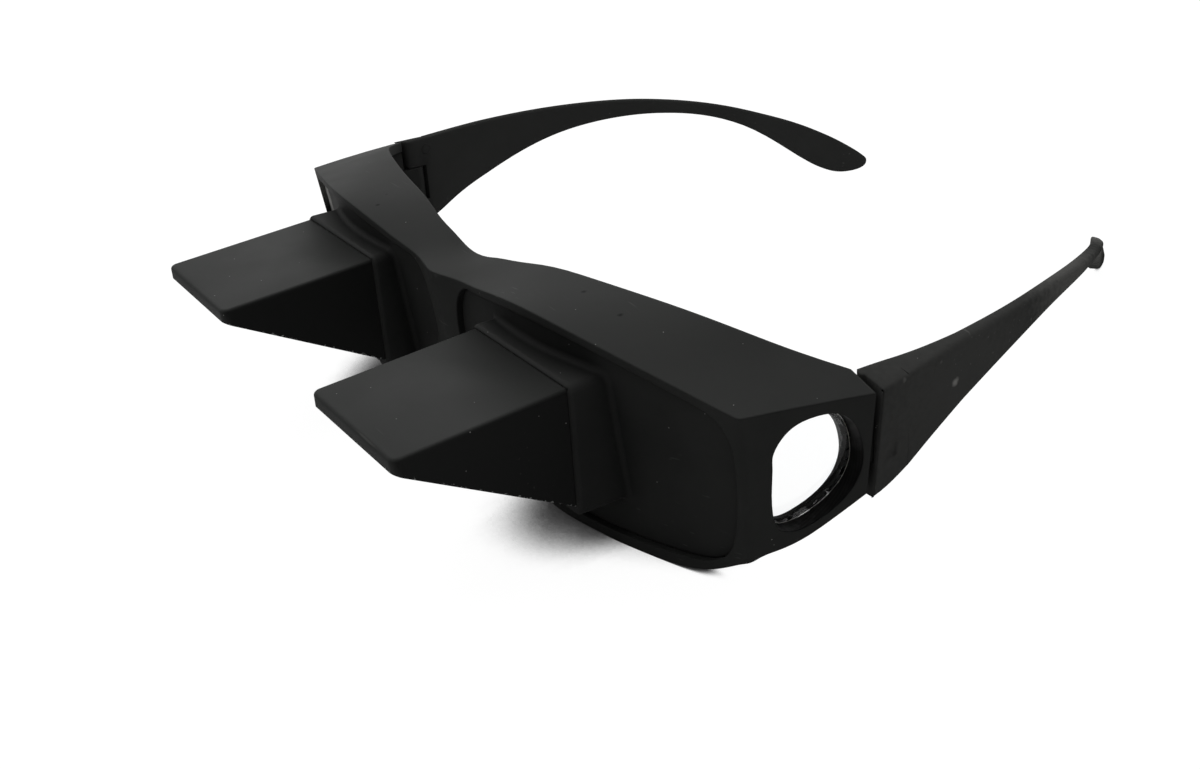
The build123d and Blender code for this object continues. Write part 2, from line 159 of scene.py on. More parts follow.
# %% [markdown]
# ## Dust and scuffs
# Matt black shows every speck. Dust is a Voronoi pattern in which only the very middles of a few cells
# count, so specks are round, small and far apart. Scuffs are thin stretched noise bands in a few patches.
# Both come out as masks, and each material decides how strongly they show.

# %% Dust and scuff group
def make_wear():
    """The group that gives the masks of the dust specks and the scuffs."""
    tree, inside, outside = open_group(
        "dust and scuffs",
        {"Speck Scale": (FLOAT, 430.0), "Speck Size": (FLOAT, 0.042), "Scuff Amount": (FLOAT, 0.5)},
        {"Dust": FLOAT, "Scuff": FLOAT},
    )
    place = put(tree, "ShaderNodeTexCoord").outputs["Object"]
    cells = put(tree, "ShaderNodeTexVoronoi", {"Vector": place, "Scale": inside["Speck Scale"]})
    near = maths(tree, "LESS_THAN", cells.outputs["Distance"], inside["Speck Size"])
    pick = put(tree, "ShaderNodeSeparateColor", {"Color": cells.outputs["Color"]})
    few = maths(tree, "LESS_THAN", pick.outputs["Red"], 0.35)
    tree.links.new(maths(tree, "MULTIPLY", near, few), outside["Dust"])
    turned = put(tree, "ShaderNodeMapping", {"Vector": place, "Rotation": (0.5, 0.9, 0.6),
                                             "Scale": (60.0, 1400.0, 1400.0)})
    lines = put(tree, "ShaderNodeTexNoise", {"Vector": turned.outputs["Vector"], "Scale": 1.0, "Detail": 1.0})
    patch = put(tree, "ShaderNodeTexNoise", {"Vector": place, "Scale": 45.0})
    thin = put(tree, "ShaderNodeMapRange", {"Value": lines.outputs["Fac"], "From Min": 0.70,
                                            "From Max": 0.78})
    where = put(tree, "ShaderNodeMapRange", {"Value": patch.outputs["Fac"], "From Min": 0.54,
                                             "From Max": 0.62})
    both = maths(tree, "MULTIPLY", thin.outputs[0], where.outputs[0])
    tree.links.new(maths(tree, "MULTIPLY", both, inside["Scuff Amount"]), outside["Scuff"])
    return tree


wear_group = make_wear()
print("made", wear_group.name)

# %% [markdown]
# ## Marks at known places
# Some marks sit where handling or the mould put them, and some pale spots are painted sheen where the
# lacquer catches the light. A spot is 1 at a point of the surface and fades to 0 at its radius, and noise
# frays its edge. An ejector mark is the shallow round step that a mould's pin leaves on a hidden face: the
# group gives its height for a Bump node.

# %% Spot and ejector groups
def make_spot():
    """The group that gives a frayed round mask at a place."""
    tree, inside, outside = open_group(
        "frayed spot",
        {"Centre": (VECTOR, (0.0, 0.0, 0.0)), "Radius": (FLOAT, 0.003), "Fray": (FLOAT, 0.6)},
        {"Mask": FLOAT},
    )
    place = put(tree, "ShaderNodeTexCoord").outputs["Object"]
    away = put(tree, "ShaderNodeVectorMath", {0: place, 1: inside["Centre"]}, operation="DISTANCE")
    share = maths(tree, "DIVIDE", away.outputs["Value"], inside["Radius"])
    noise = put(tree, "ShaderNodeTexNoise", {"Vector": place, "Scale": 900.0, "Detail": 3.0})
    frayed = maths(tree, "MULTIPLY", noise.outputs["Fac"], inside["Fray"])
    rough_share = maths(tree, "ADD", share, frayed)
    mask = put(tree, "ShaderNodeMapRange", {"Value": rough_share, "From Min": 1.1, "From Max": 0.5,
                                            "To Min": 0.0, "To Max": 1.0})
    tree.links.new(mask.outputs[0], outside["Mask"])
    return tree


def make_ejector():
    """The group that gives the height of a mould pin's mark."""
    tree, inside, outside = open_group(
        "ejector mark",
        {"Centre": (VECTOR, (0.0, 0.0, 0.0)), "Radius": (FLOAT, 0.0015)},
        {"Height": FLOAT},
    )
    place = put(tree, "ShaderNodeTexCoord").outputs["Object"]
    away = put(tree, "ShaderNodeVectorMath", {0: place, 1: inside["Centre"]}, operation="DISTANCE")
    share = maths(tree, "DIVIDE", away.outputs["Value"], inside["Radius"])
    step = put(tree, "ShaderNodeMapRange", {"Value": share, "From Min": 0.9, "From Max": 1.05,
                                            "To Min": 1.0, "To Max": 0.0})
    tree.links.new(step.outputs[0], outside["Height"])
    return tree


spot_group = make_spot()
ejector_group = make_ejector()
print("made", spot_group.name, "and", ejector_group.name)

# %% [markdown]
# ## Matt black lacquer
# One function makes each black finish, because the frame, the front plates and the temples are the same
# material with small differences: the front plates have a slightly coarser, duller moulded surface, and the
# temples are more scuffed from handling and get a paler base, which is painted sheen. Colours are written as
# they look under plain light.

# %% Blacks and pale marks
BLACK = (0.0310, 0.0320, 0.0308, 1.0)
PLATE_BLACK = (0.0290, 0.0296, 0.0288, 1.0)
# the temples' paler base is painted sheen on the same black lacquer
TEMPLE_BLACK_WITH_SHEEN = (0.0500, 0.0508, 0.0494, 1.0)
DUST = (0.28, 0.28, 0.27, 1.0)
SCUFF = (0.120, 0.121, 0.116, 1.0)
# dark colour of the dents, and of the painted shade in hollows and window pockets
DARK_MARK_AND_SHADE = (0.006, 0.006, 0.006, 1.0)
# pale colour of rubs, and of painted sheen
RUBBED_AND_SHEEN = (0.70, 0.69, 0.66, 1.0)
PANES = [(Vector(low) + Vector(high)) / 2 for low, high in map(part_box, ("side_pane_left", "side_pane_right"))]
PANE_REACH = 0.0145     # from a pane's middle to the end of its pocket


def pocket_shade_mask(tree):
    """Painted shade: 1 on the walls of the window pockets, in fine layers: near a pane and facing the pocket's
    middle.
    """
    facing = put(tree, "ShaderNodeNewGeometry").outputs["Normal"]
    way = put(tree, "ShaderNodeSeparateXYZ", {"Vector": facing})
    wall = put(tree, "ShaderNodeMapRange", {"Value": maths(tree, "ABSOLUTE", way.outputs["X"]),
                                            "From Min": 0.75, "From Max": 0.60}).outputs[0]
    place = put(tree, "ShaderNodeTexCoord").outputs["Object"]
    layers = put(tree, "ShaderNodeTexWave", {"Vector": place, "Scale": 520.0, "Distortion": 1.5},
                 bands_direction="X").outputs["Fac"]
    depth = put(tree, "ShaderNodeMapRange", {"Value": layers, "To Min": 0.86, "To Max": 1.0}).outputs[0]
    mask = 0.0
    for middle in PANES:
        toward = put(tree, "ShaderNodeVectorMath", {0: middle, 1: place}, operation="SUBTRACT").outputs[0]
        reach = put(tree, "ShaderNodeVectorMath", {0: toward}, operation="LENGTH").outputs["Value"]
        inward = put(tree, "ShaderNodeVectorMath", {0: toward, 1: facing}, operation="DOT_PRODUCT")
        near = maths(tree, "MULTIPLY", maths(tree, "LESS_THAN", reach, PANE_REACH),
                     maths(tree, "GREATER_THAN", inward.outputs["Value"], 0.0))
        mask = maths(tree, "MAXIMUM", maths(tree, "MULTIPLY", near, wall), mask)
    return maths(tree, "MULTIPLY", mask, depth)


print("pane middles:", [tuple(round(v, 4) for v in middle) for middle in PANES])

# %% [markdown]
# The black finish itself puts grain, wear, rubs, painted sheen, dents, ejector marks, and painted shade in the
# hollows and pockets together. Each piece has its own base, and the arms' paler base is painted sheen.

# %% Black finish
EJECTOR_STEP = 0.0002
PALE_MOTTLE = 0.10      # most of the pale scuff colour that the broad mottle mixes in
GLOSS_SWING = 0.05      # how far the mottle moves the roughness each way


def spots_mask(tree, spots):
    """The greatest of the spots at each place, each as strong as its third value says."""
    mask = 0.0
    for centre, radius, strength in spots:
        spot = put(tree, "ShaderNodeGroup", {"Centre": centre, "Radius": radius}, node_tree=spot_group)
        mask = maths(tree, "MAXIMUM", maths(tree, "MULTIPLY", spot.outputs["Mask"], strength), mask)
    return mask


def black_finish(name, colour, rough, shine, grain, edge, scuffs, spots=(), dents=(), ejectors=(),
                 pockets=False):
    """A black lacquer. Spots and dents are (centre, radius, strength), ejector marks are (centre, radius)."""
    material, tree, out = open_material(name)
    surface = put(tree, "ShaderNodeGroup", {"Grain Scale": grain, "Edge Radius": edge},
                  node_tree=grain_group)
    wear = put(tree, "ShaderNodeGroup", {"Scuff Amount": scuffs}, node_tree=wear_group)
    rubbed_and_sheen = spots_mask(tree, spots)
    dented = spots_mask(tree, dents)
    normal = surface.outputs["Normal"]
    for centre, radius in ejectors:
        mark = put(tree, "ShaderNodeGroup", {"Centre": centre, "Radius": radius}, node_tree=ejector_group)
        normal = put(tree, "ShaderNodeBump", {"Height": mark.outputs["Height"], "Strength": 1.0,
                                              "Distance": EJECTOR_STEP, "Normal": normal}).outputs["Normal"]
    tone = put(tree, "ShaderNodeMapRange", {"Value": surface.outputs["Mottle"], "From Min": 0.3,
                                            "From Max": 0.7, "To Min": 0.0, "To Max": PALE_MOTTLE})
    base = colour_mix(tree, tone.outputs[0], colour, SCUFF)
    base = colour_mix(tree, wear.outputs["Scuff"], base, SCUFF)
    base = colour_mix(tree, dented, base, DARK_MARK_AND_SHADE)
    # painted shade: the base colour goes dark in hollows
    base = colour_mix(tree, surface.outputs["Crevice Shade"], base, DARK_MARK_AND_SHADE)
    # painted shade on the walls of the window pockets
    if pockets:
        base = colour_mix(tree, pocket_shade_mask(tree), base, DARK_MARK_AND_SHADE)
    # rubs and painted sheen: the pale spots
    base = colour_mix(tree, rubbed_and_sheen, base, RUBBED_AND_SHEEN)
    base = colour_mix(tree, wear.outputs["Dust"], base, DUST)
    gloss = put(tree, "ShaderNodeMapRange", {"Value": surface.outputs["Mottle"], "From Min": 0.3,
                                             "From Max": 0.7, "To Min": rough - GLOSS_SWING,
                                             "To Max": rough + GLOSS_SWING})
    shader = put(tree, "ShaderNodeBsdfPrincipled", {"Base Color": base, "Roughness": gloss.outputs[0],
                                                    "Specular IOR Level": shine, "Normal": normal})
    tree.links.new(shader.outputs[0], out.inputs["Surface"])
    return material


print("black finish ready, with ejector steps of", 1000 * EJECTOR_STEP, "mm")

# %% [markdown]
# The rubs, dents and ejector marks below stand where the photograph shows them.

# %% Black pieces
BROW_DENTS = (((-0.0272, -0.0463, 0.0397), 0.0007, 1.0), ((-0.0300, -0.0430, 0.0402), 0.0005, 1.0),
              ((0.0358, -0.0400, 0.0400), 0.0008, 1.0), ((0.0458, -0.0398, 0.0394), 0.0007, 1.0))
# Of the temple spots, the three widest ones on the near arm are painted sheen, the small ones are rubs.
TEMPLE_RUBS_AND_SHEEN = (((0.0783, -0.0012, 0.0236), 0.0013, 0.45), ((0.0799, -0.0132, 0.0299), 0.0008, 0.12),
               ((0.0789, -0.0048, 0.0290), 0.0007, 0.10), ((0.0745, 0.0162, 0.0282), 0.0005, 0.9),
               ((0.0780, 0.0000, 0.0200), 0.0450, 0.035), ((0.0690, 0.0340, 0.0250), 0.0240, 0.12),
               ((0.0500, 0.0700, 0.0200), 0.0260, 0.21), ((-0.0550, 0.0650, 0.0200), 0.0060, 0.03))
TEMPLE_MARKS = (((-0.0748, -0.0134, 0.0287), 0.0011), ((0.0748, -0.0134, 0.0287), 0.0011))
# The pale spots on the frame and the plate at the far end are painted sheen.
FRAME_SHEEN = (((-0.0732, -0.0412, 0.0285), 0.0060, 0.3),)
PLATE_SHEEN = (((-0.0676, -0.0430, 0.0290), 0.0068, 0.60),)
frame_black = black_finish("frame lacquer", BLACK, rough=0.52, shine=0.05, grain=3600.0, edge=0.0005,
                           scuffs=0.4, spots=FRAME_SHEEN, dents=BROW_DENTS, pockets=True)
plate_black = black_finish("front plate lacquer", PLATE_BLACK, rough=0.58, shine=0.05, grain=2600.0,
                           edge=0.0004, scuffs=0.3, spots=PLATE_SHEEN)
temple_black = black_finish("temple lacquer", TEMPLE_BLACK_WITH_SHEEN, rough=0.50, shine=0.0, grain=3600.0,
                            edge=0.0009, scuffs=0.8, spots=TEMPLE_RUBS_AND_SHEEN, ejectors=TEMPLE_MARKS)
print("black finishes:", frame_black.name, plate_black.name, temple_black.name)

# %% [markdown]
# ## Steel pins and clear plastic
# The hinge pins are bright drawn steel, of which only the ends show. The side panes and the prisms are
# clear plastic: a transmissive shader with a low roughness and a trace of haze from handling.

# %% Steel and clear plastic
def make_steel():
    """Drawn steel, with fine lines along the pin."""
    material, tree, out = open_material("pin steel")
    place = put(tree, "ShaderNodeTexCoord").outputs["Object"]
    drawn = put(tree, "ShaderNodeMapping", {"Vector": place, "Scale": (9000.0, 9000.0, 300.0)})
    lines = put(tree, "ShaderNodeTexNoise", {"Vector": drawn.outputs["Vector"], "Scale": 1.0})
    rough = put(tree, "ShaderNodeMapRange", {"Value": lines.outputs["Fac"], "To Min": 0.22, "To Max": 0.42})
    bump = put(tree, "ShaderNodeBump", {"Height": lines.outputs["Fac"], "Strength": 0.2,
                                        "Distance": 0.00001})
    shader = put(tree, "ShaderNodeBsdfPrincipled", {"Base Color": (0.60, 0.60, 0.61, 1.0), "Metallic": 1.0,
                                                    "Roughness": rough.outputs[0],
                                                    "Normal": bump.outputs["Normal"]})
    tree.links.new(shader.outputs[0], out.inputs["Surface"])
    return material


def make_clear(name, haze):
    """Clear acrylic. Smears bring its roughness from almost none up to haze."""
    material, tree, out = open_material(name)
    place = put(tree, "ShaderNodeTexCoord").outputs["Object"]
    smear = put(tree, "ShaderNodeTexNoise", {"Vector": place, "Scale": 160.0, "Detail": 5.0})
    rough = put(tree, "ShaderNodeMapRange", {"Value": smear.outputs["Fac"], "From Min": 0.45,
                                             "From Max": 0.8, "To Min": 0.01, "To Max": haze})
    shader = put(tree, "ShaderNodeBsdfPrincipled", {"Base Color": (0.985, 0.99, 0.99, 1.0),
                                                    "Roughness": rough.outputs[0], "IOR": 1.49,
                                                    "Transmission Weight": 1.0})
    tree.links.new(shader.outputs[0], out.inputs["Surface"])
    return material


steel = make_steel()
pane_clear = make_clear("clear pane", haze=0.06)
prism_clear = make_clear("clear prism", haze=0.04)
print("made", steel.name, pane_clear.name, prism_clear.name)

# %% [markdown]
# ## Dressing the CAD nodes
# The CAD shapes are right, so each node only gets its finish in its material slot.

# %% Assign the finishes
finishes = {"frame": frame_black, "front_plate": plate_black, "temple": temple_black,
            "side_pane": pane_clear, "hinge_pin": steel}
for name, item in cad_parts.items():
    family = name if name == "frame" else name.rsplit("_", 1)[0]
    if family in finishes:
        item.data.materials.clear()
        item.data.materials.append(finishes[family])
print("dressed", len(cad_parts), "nodes")

# %% [markdown]
# ## The painted prisms
# Each prism is one clear body. Its lower face and its rear face stay clear, because light enters below and
# leaves towards the eye, and all other faces are painted matt black. So the piece is the CAD solid again
# with two materials, one for each kind of face. Along the lower edges the paint has chipped off in small
# flakes: a mask from the distance to the lower face, broken up by noise, shows them.

# %% Prism paint
BASE_NORMAL = Vector((0.0, -0.56433, -0.82555))
REAR_NORMAL = Vector((0.0, 0.99603, -0.08907))
TENON_NORMAL = Vector((0.0, -0.08907, -0.99603))
base_level = max(vertex.co.dot(BASE_NORMAL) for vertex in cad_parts["prism_left"].data.vertices)
PAINT = (0.0350, 0.0362, 0.0348, 1.0)
# painted shade: a darker copy of the paint for the upright sides
SHADED_SIDE_PAINT = (0.0175, 0.0180, 0.0175, 1.0)
CHIP = (0.34, 0.35, 0.34, 1.0)
CHIP_HEIGHT = 0.0005    # how far the flakes reach up from the lower edges
SAME_WAY = 0.99         # normals whose product is above this point the same way


def make_prism_paint():
    """Matt paint with painted shade on the upright sides, chipped along the lower edges."""
    material, tree, out = open_material("prism paint")
    surface = put(tree, "ShaderNodeGroup", {"Grain Scale": 4200.0, "Edge Radius": 0.0006},
                  node_tree=grain_group)
    wear = put(tree, "ShaderNodeGroup", {"Scuff Amount": 0.4}, node_tree=wear_group)
    place = put(tree, "ShaderNodeTexCoord").outputs["Object"]
    level = put(tree, "ShaderNodeVectorMath", {0: place, 1: tuple(BASE_NORMAL)}, operation="DOT_PRODUCT")
    depth = maths(tree, "SUBTRACT", base_level, level.outputs["Value"])
    flakes = put(tree, "ShaderNodeTexNoise", {"Vector": place, "Scale": 1900.0, "Detail": 3.0})
    reach = put(tree, "ShaderNodeMapRange", {"Value": flakes.outputs["Fac"], "From Min": 0.54,
                                             "From Max": 0.72, "To Min": 0.0, "To Max": CHIP_HEIGHT})
    chip = maths(tree, "LESS_THAN", depth, reach.outputs[0])
    way = put(tree, "ShaderNodeSeparateXYZ", {"Vector": put(tree, "ShaderNodeNewGeometry").outputs["Normal"]})
    # painted shade: the upright sides take the darker copy of the paint
    side = put(tree, "ShaderNodeMapRange", {"Value": maths(tree, "ABSOLUTE", way.outputs["X"]),
                                            "From Min": 0.5, "From Max": 0.9})
    base = colour_mix(tree, side.outputs[0], PAINT, SHADED_SIDE_PAINT)
    base = colour_mix(tree, wear.outputs["Dust"], base, DUST)
    base = colour_mix(tree, wear.outputs["Scuff"], base, SCUFF)
    base = colour_mix(tree, chip, base, CHIP)
    gloss = put(tree, "ShaderNodeMapRange", {"Value": surface.outputs["Mottle"], "From Min": 0.3,
                                             "From Max": 0.7, "To Min": 0.46, "To Max": 0.54})
    shader = put(tree, "ShaderNodeBsdfPrincipled", {"Base Color": base, "Roughness": gloss.outputs[0],
                                                    "Specular IOR Level": 0.06,
                                                    "Normal": surface.outputs["Normal"]})
    tree.links.new(shader.outputs[0], out.inputs["Surface"])
    return material


prism_paint = make_prism_paint()
print("paint chips start at level", round(1000 * base_level, 2), "mm")

# %% Painted prism meshes
def painted_prism(side):
    """The CAD prism as one closed mesh with painted and clear faces."""
    node = "prism_" + side
    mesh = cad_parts[node].data.copy()
    mesh.name = "painted_prism_" + side
    work = merged(mesh)
    for face in work.faces:
        clear = any(face.normal.dot(way) > SAME_WAY for way in (BASE_NORMAL, REAR_NORMAL, TENON_NORMAL))
        face.material_index = 1 if clear else 0
    work.to_mesh(mesh)
    work.free()
    mesh.materials.clear()
    mesh.materials.append(prism_paint)
    mesh.materials.append(prism_clear)
    mesh.shade_smooth()
    mesh.set_sharp_from_angle(angle=math.radians(28))
    piece = bpy.data.objects.new("painted_prism_" + side, mesh)
    bpy.context.scene.collection.objects.link(piece)
    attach(piece, "front")
    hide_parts(node)
    print(piece.name, len(mesh.polygons), "faces")


painted_prism("left")
painted_prism("right")

# %% [markdown]
# ## The temples' arms
# The real temples are softer than their CAD solids: the upper edge is thin and rounded, the lower edge runs
# in one sweep and the tip is a rounded paddle. The hinge end keeps the CAD mesh up to just behind the
# knuckles. Behind it the arm is a skin over many sections, which are read from the CAD mesh, smoothed along
# the arm and rounded. In the photograph the far temple is bent up a little and its tip is clear of the
# table, so the glasses stand on the rims and the near tip, and the skins follow that.

# %% Sections of the arm
ARM_START = -0.0120         # y at which the skin takes over from the CAD mesh
BLEND = 0.013               # length over which the soft shape comes in behind the start
READ_STEP = 0.001           # distance between the sections that are read
READ_MARGIN = 0.0015        # how far before the start they begin, and before the tip they end
PAST_TIP = 15               # sections that run on past the tip
SMOOTH = 0.0055             # spread of the smoothing along the arm
LEAST_SMOOTH = 0.0004
PADDLE_START = 0.045        # y from which the smoothing goes down to half
PADDLE_BLEND = 0.015
CORNER_LOSS = 0.00013       # what the CAD model's rounding takes from a corner
WAYS = ((-1, 1), (1, 1), (1, -1), (-1, -1))  # inner top, outer top, outer base, inner base


def corners_at(edges, way, y):
    """The section's four corners at one place along the arm, as (outward, up)."""
    points = []
    for a, b in edges:
        if a.y < y < b.y:
            point = a.lerp(b, (y - a.y) / (b.y - a.y))
            points.append((point.x * way, point.z))
    found = [max(points, key=lambda point: point[0] * out + point[1] * up) for out, up in WAYS]
    return [Vector((point[0] + CORNER_LOSS * out, point[1] + CORNER_LOSS * up))
            for point, (out, up) in zip(found, WAYS)]


def read_sections(mesh, way):
    """Places along the arm with their four corners. The last ones run on straight past the tip."""
    end = max(vertex.co.y for vertex in mesh.vertices)
    edges = [sorted((mesh.vertices[index].co for index in edge.vertices), key=lambda point: point.y)
             for edge in mesh.edges]
    edges = [(a, b) for a, b in edges if b.y > ARM_START - 2 * READ_STEP]
    count = int((end - READ_MARGIN - ARM_START) / READ_STEP)
    read = [ARM_START - READ_MARGIN + READ_STEP * k for k in range(count)]
    rows = [corners_at(edges, way, y) for y in read]
    slope = [(last - earlier) / 5 for last, earlier in zip(rows[-1], rows[-6])]
    for _ in range(PAST_TIP):
        read.append(read[-1] + READ_STEP)
        rows.append([corner + step for corner, step in zip(rows[-1], slope)])
    return end, read, rows


def smooth_corners(y, read, rows):
    """The corners at y as a mean of their neighbours, sharp at the start and wide behind it."""
    spread = SMOOTH * min(1.0, (y - ARM_START) / BLEND) + LEAST_SMOOTH
    spread *= 1 - 0.5 * min(1.0, max(0.0, (y - PADDLE_START) / PADDLE_BLEND))
    weights = [math.exp(-0.5 * ((other - y) / spread) ** 2) for other in read]
    total = sum(weights)
    return [sum((row[c] * weight for row, weight in zip(rows, weights)), Vector((0.0, 0.0))) / total
            for c in range(4)]


print("sections start at", round(1000 * ARM_START), "mm")

# %% [markdown]
# Each section is then thinned at its upper edge, sunk and closed near the tip, and rounded at its corners.

# %% Shaping one section
TIP_LENGTH = 0.008          # length over which the height closes to nothing
TIP_ROUND = 0.003           # length over which the width closes to nothing
DROOP_LENGTH = 0.045        # length over which the upper edge sinks towards the tip
THINNING = 0.0009           # most that the inner face moves out
LEAST_WALL = 0.0022         # thickness below which nothing is thinned
LEVELLING = 0.7             # share of the upper edge's slope that is taken out
EDGE_ROUND = 0.00045        # radius of all four corners at the start
SOFTER = (0.0003, 0.0011, 0.0005, 0.0)  # what is added to each behind it, in the order of WAYS


def toward_tip(y, end, length):
    """Runs from 0 to 1 over the last length before the end."""
    return min(1.0, max(0.0, 1 - (end - y) / length))


def shaped(quad, y, end, drop, droop, close_at):
    """Thins the upper edge, lowers the base by drop, the tip's upper edge by droop, and closes the tip."""
    share = min(1.0, max(0.0, (y - ARM_START) / BLEND))
    inner_top, outer_top, outer_base, inner_base = (corner.copy() for corner in quad)
    for outer, inner in ((outer_top, inner_top), (outer_base, inner_base)):
        inner.x += share * max(0.0, min(THINNING, outer.x - inner.x - LEAST_WALL))
    fall = inner_top.y - outer_top.y
    outer_top.y = inner_top.y - fall * (1 - LEVELLING * share)
    outer_base.y -= drop * share
    inner_base.y -= drop * share
    sunk = toward_tip(y, end, DROOP_LENGTH)
    inner_top.y -= droop * sunk * sunk * (3 - 2 * sunk)
    outer_top.y -= droop * sunk * sunk * (3 - 2 * sunk)
    height = math.sqrt(1 - toward_tip(y, end, TIP_LENGTH) ** 2)
    level = inner_top.y - close_at * (inner_top.y - inner_base.y)
    width = math.sqrt(1 - toward_tip(y, end, TIP_ROUND) ** 2)
    middle = (inner_top.x + outer_top.x) / 2
    made = [Vector((middle + (corner.x - middle) * width, level + (corner.y - level) * height))
            for corner in (inner_top, outer_top, outer_base, inner_base)]
    return made, [EDGE_ROUND + extra * share for extra in SOFTER]


def rounded_ring(quad, radii, steps=6):
    """The quad with soft corners, as one closed ring of points."""
    points = []
    for k in range(4):
        here = quad[k]
        back, on = quad[k - 1] - here, quad[(k + 1) % 4] - here
        reach = min(radii[k], 0.48 * back.length, 0.48 * on.length)
        start = here + back * (reach / max(back.length, 1e-9))
        stop = here + on * (reach / max(on.length, 1e-9))
        for i in range(steps + 1):
            t = i / steps
            points.append(start * (1 - t) ** 2 + here * (2 * t * (1 - t)) + stop * t ** 2)
    return points


print("an upper outer corner is rounded by", round(1000 * (EDGE_ROUND + SOFTER[1]), 2), "mm behind the start")

# %% [markdown]
# The rings stand evenly along the arm and close together at the tip. The first round of shaping shows how
# far the smoothed base is from the table, and the second lowers it by that.

# %% Rings of the arm
ARM_RINGS = 44
TIP_RINGS = 24
TIP_ZONE = 0.012            # length at the tip where the rings stand close together
TIP_CLEAR = 0.00001         # the last ring closes just before the tip, so that it keeps a small face


def arm_rings(cad, way, rise, arch, droop, close_at):
    """The arm's rings of points, from just behind the hinge to the tip, bent up by rise and arch."""
    end, read, rows = read_sections(cad, way)
    places = [ARM_START + (end - TIP_ZONE - ARM_START) * k / ARM_RINGS for k in range(ARM_RINGS)]
    places += [end - TIP_ZONE * (1 - k / TIP_RINGS) ** 1.6 for k in range(TIP_RINGS + 1)]
    flat = [smooth_corners(y, read, rows) for y in places]
    drop = 0.0
    for _ in range(2):
        rings = []
        for y, quad in zip(places, flat):
            made, radii = shaped(quad, y, end - TIP_CLEAR, drop, droop, close_at)
            rings.append([Vector((point.x * way, y, point.y)) for point in rounded_ring(made, radii)])
        drop += min(point.z for ring in rings for point in ring)
    for y, ring in zip(places, rings):
        share = (y - ARM_START) / (end - ARM_START)
        bend = rise * share + arch * math.sin(math.pi * min(1.0, share)) * 1.5 * (1 - min(1.0, share))
        for point in ring:
            point.z += bend
    return rings


print("an arm has", ARM_RINGS + TIP_RINGS + 1, "rings")

# %% [markdown]
# The hinge end is the CAD mesh, cut at the arm's start. Its front face stands back a little, so that the
# gap at the hinge shows as it does in the photograph.

# %% Hinge end
FRONT_WAY = Vector((0.0, -0.99603, 0.08907))
OUTER_FACE = 0.0768         # x beyond which a forward face belongs to the front end's flat
FRONT_GAP = 0.0006
FLAT_DEPTH = 0.0002


def hinge_end(cad, way):
    """The CAD mesh up to the arm's start, as a work mesh."""
    work = merged(cad)
    everything = work.verts[:] + work.edges[:] + work.faces[:]
    bmesh.ops.bisect_plane(work, geom=everything, plane_co=(0, ARM_START, 0), plane_no=(0, 1, 0),
                           clear_outer=True)
    ahead = [face for face in work.faces if face.normal.dot(FRONT_WAY) > SAME_WAY
             and face.calc_center_median().x * way > OUTER_FACE]
    level = max(face.calc_center_median().dot(FRONT_WAY) for face in ahead)
    for vertex in {vertex for face in ahead for vertex in face.verts}:
        if level - vertex.co.dot(FRONT_WAY) < FLAT_DEPTH:
            vertex.co -= FRONT_WAY * FRONT_GAP
    return work


print("the front end stands back by", 1000 * FRONT_GAP, "mm")

# %% Building the temples
def soft_temple(side, way, rise, arch, droop, close_at):
    """The hinge end from the CAD mesh with the arm as a smooth skin behind it."""
    node = "temple_" + side
    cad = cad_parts[node].data
    work = hinge_end(cad, way)
    rings = arm_rings(cad, way, rise, arch, droop, close_at)
    skin = [[work.verts.new(point) for point in ring] for ring in rings]
    for before, after in zip(skin, skin[1:]):
        for k in range(len(before)):
            work.faces.new((before[k - 1], before[k], after[k], after[k - 1]))
    work.faces.new(skin[-1])
    bmesh.ops.recalc_face_normals(work, faces=work.faces)
    mesh = bpy.data.meshes.new("soft_temple_" + side)
    work.to_mesh(mesh)
    work.free()
    mesh.materials.append(temple_black)
    mesh.shade_smooth()
    mesh.set_sharp_from_angle(angle=math.radians(35))
    piece = bpy.data.objects.new("soft_temple_" + side, mesh)
    bpy.context.scene.collection.objects.link(piece)
    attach(piece, node)
    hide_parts(node)
    low = min(vertex.co.z for vertex in mesh.vertices)
    print(piece.name, len(mesh.polygons), "faces, lowest point", round(1000 * low, 3), "mm")


soft_temple("left", 1, rise=0.0, arch=0.0011, droop=0.0018, close_at=0.65)
soft_temple("right", -1, rise=0.0022, arch=0.0003, droop=0.0, close_at=0.30)

# %% [markdown]
# ## The glue line of the side panes
# The panes are glued into their windows from outside. A fine uneven bead of clear glue runs round each pane
# where it meets the pocket wall. It repeats along a path, so Geometry Nodes make it: the pane's own outline
# is the path, its points each carry a small blob, and a fixed seed sizes the blobs at random.

